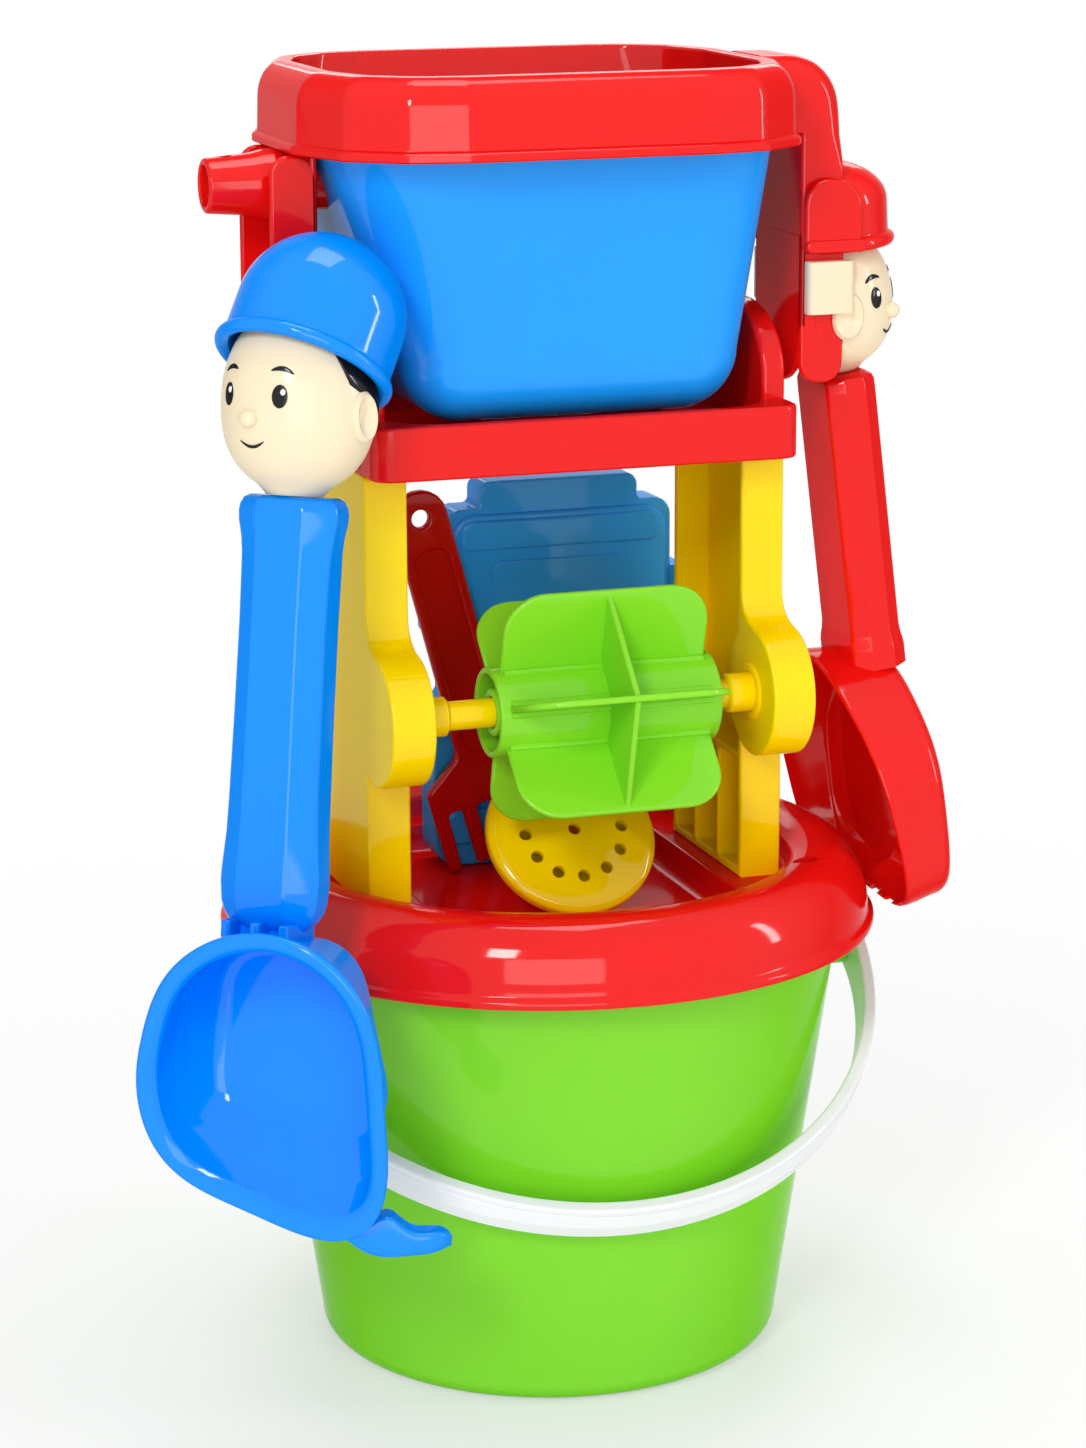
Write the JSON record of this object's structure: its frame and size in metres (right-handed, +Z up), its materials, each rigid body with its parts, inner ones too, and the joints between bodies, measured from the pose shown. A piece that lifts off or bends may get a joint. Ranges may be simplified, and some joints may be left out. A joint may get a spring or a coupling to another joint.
{
  "type": "sand wheel toy",
  "caption": "Sand bucket with a lift-off mill: funnel, paddle wheel on an axle, tray, stacked watering can and clip-on scoop and shovel.",
  "frame": {"origin": "on the floor under the bucket's axis", "axes": "+Z up, +X along the wheel's axle to the shovel's side, the front is -Y"},
  "size_m": [0.2887, 0.2439, 0.4228],
  "materials": {
    "bucket_green": "glossy moulded plastic",
    "white": "glossy moulded plastic",
    "red": "glossy moulded plastic",
    "yellow": "glossy moulded plastic",
    "wheel_green": "glossy moulded plastic",
    "can_blue": "glossy moulded plastic",
    "blue": "glossy moulded plastic",
    "cream": "glossy moulded plastic",
    "dark_red": "glossy moulded plastic"
  },
  "bodies": {
    "bucket": {"bucket": "bucket_green"},
    "bail": {"bucket_handle": "white"},
    "mill": {"mill_base": "red", "left_post": "yellow", "right_post": "yellow", "axle": "yellow", "funnel": "red"},
    "wheel": {"paddle_wheel": "wheel_green"},
    "can": {"can_floor": "can_blue", "can_front": "can_blue", "can_back": "can_blue", "can_left": "can_blue", "can_right": "can_blue", "can_rim": "red", "can_spout": "red", "can_handle": "red"},
    "rose": {"sprinkler_rose": "yellow"},
    "scoop": {"scoop": "blue", "scoop_head": "cream", "scoop_cap": "blue"},
    "shovel": {"shovel": "red", "shovel_head": "cream", "shovel_cap": "red"},
    "mould": {"truck_mould": "blue"},
    "rake": {"rake": "dark_red"}
  },
  "joints": [
    {"name": "handle_swing", "type": "hinge", "parent": "bucket", "child": "bail", "pos_m": [0, 0, 0.124], "axis": [-1, 0, 0], "range_deg": [0, 25]},
    {"name": "mill_lift", "type": "slide", "parent": "bucket", "child": "mill", "axis": [0, 0, 1], "range_m": [0, 0.06]},
    {"name": "wheel_spin", "type": "hinge", "parent": "mill", "child": "wheel", "pos_m": [0, -0.04, 0.2225], "axis": [1, 0, 0], "continuous": true},
    {"name": "can_lift", "type": "slide", "parent": "mill", "child": "can", "axis": [0, 0, 1], "range_m": [0, 0.06]},
    {"name": "scoop_pull", "type": "slide", "parent": "can", "child": "scoop", "axis": [-1, 0, 0], "range_m": [0, 0.045]},
    {"name": "shovel_pull", "type": "slide", "parent": "can", "child": "shovel", "axis": [1, 0, 0], "range_m": [0, 0.045]},
    {"name": "rose_lift", "type": "slide", "parent": "mill", "child": "rose", "axis": [0, 0.6, 0.8], "range_m": [0, 0.014]},
    {"name": "mould_lift", "type": "slide", "parent": "mill", "child": "mould", "axis": [0, 0.6, 0.8], "range_m": [0, 0.06]},
    {"name": "rake_lift", "type": "slide", "parent": "mill", "child": "rake", "axis": [-0.8, 0, 0.6], "range_m": [0, 0.025]}
  ]
}
